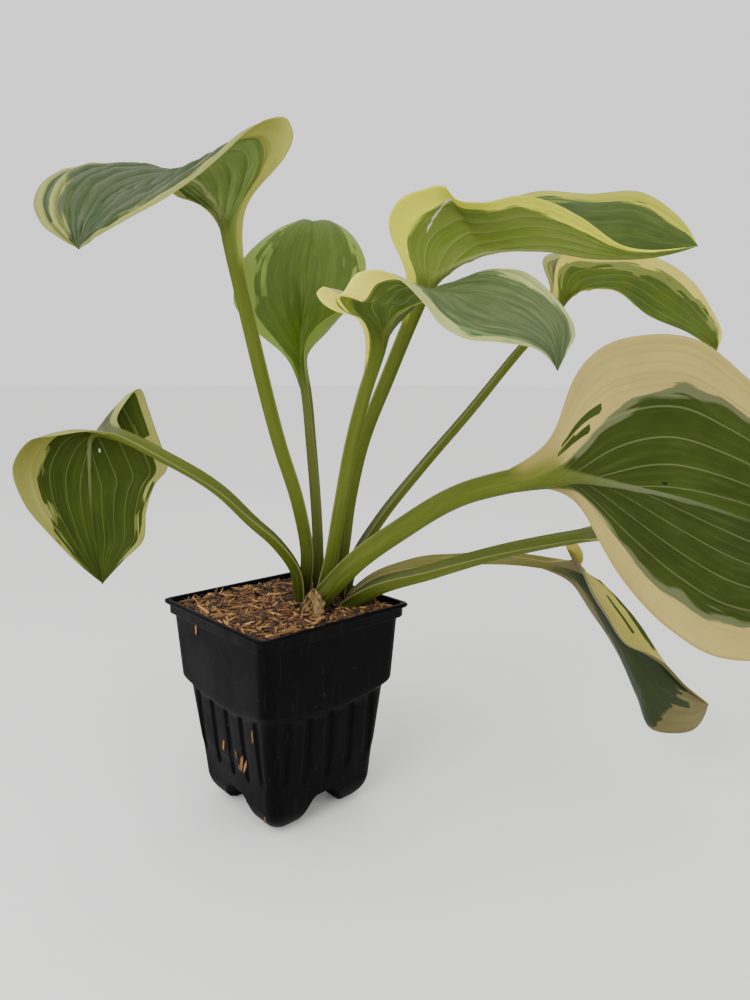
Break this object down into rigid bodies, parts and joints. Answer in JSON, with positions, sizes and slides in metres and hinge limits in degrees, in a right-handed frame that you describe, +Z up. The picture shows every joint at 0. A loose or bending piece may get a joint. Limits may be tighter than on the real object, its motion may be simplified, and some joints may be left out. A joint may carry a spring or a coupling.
{
  "type": "potted hosta plant",
  "caption": "Hosta in a square fluted nursery pot: waved, cream-edged leaves on long stalks above potting mix strewn with wood chips.",
  "frame": {"origin": "middle of the part's outline in plan, on the floor the pot's feet stand on", "axes": "+Z up; X and Y square to the pot's walls, with +X along the longest spread of the leaves"},
  "size_m": [0.4716, 0.4044, 0.4126],
  "materials": {
    "pot_plastic": "semi-matte black moulded plastic",
    "potting_mix": "rough bark and wood chips",
    "crown": "matte fibrous",
    "dry_bract": "matte papery",
    "leaf_upper_left": "waxy leaf, blue-green with cream margins",
    "leaf_back": "waxy leaf, blue-green with cream margins",
    "leaf_hanging_left": "waxy leaf, blue-green with cream margins",
    "leaf_centre": "waxy leaf, blue-green with cream margins",
    "leaf_upper_right": "waxy leaf, blue-green with cream margins",
    "leaf_far_right": "waxy leaf, blue-green with cream margins",
    "leaf_front_right": "waxy leaf, blue-green with cream margins",
    "leaf_low_front": "waxy leaf, blue-green with cream margins",
    "leaf_folded_low": "waxy leaf, blue-green with cream margins"
  },
  "bodies": {
    "root": {"pot": "pot_plastic", "potting_mix": "potting_mix", "crown": "crown", "dry_bract": "dry_bract", "leaf_upper_left": "leaf_upper_left", "leaf_back": "leaf_back", "leaf_hanging_left": "leaf_hanging_left", "leaf_centre": "leaf_centre", "leaf_upper_right": "leaf_upper_right", "leaf_far_right": "leaf_far_right", "leaf_front_right": "leaf_front_right", "leaf_low_front": "leaf_low_front", "leaf_folded_low": "leaf_folded_low"}
  },
  "joints": []
}
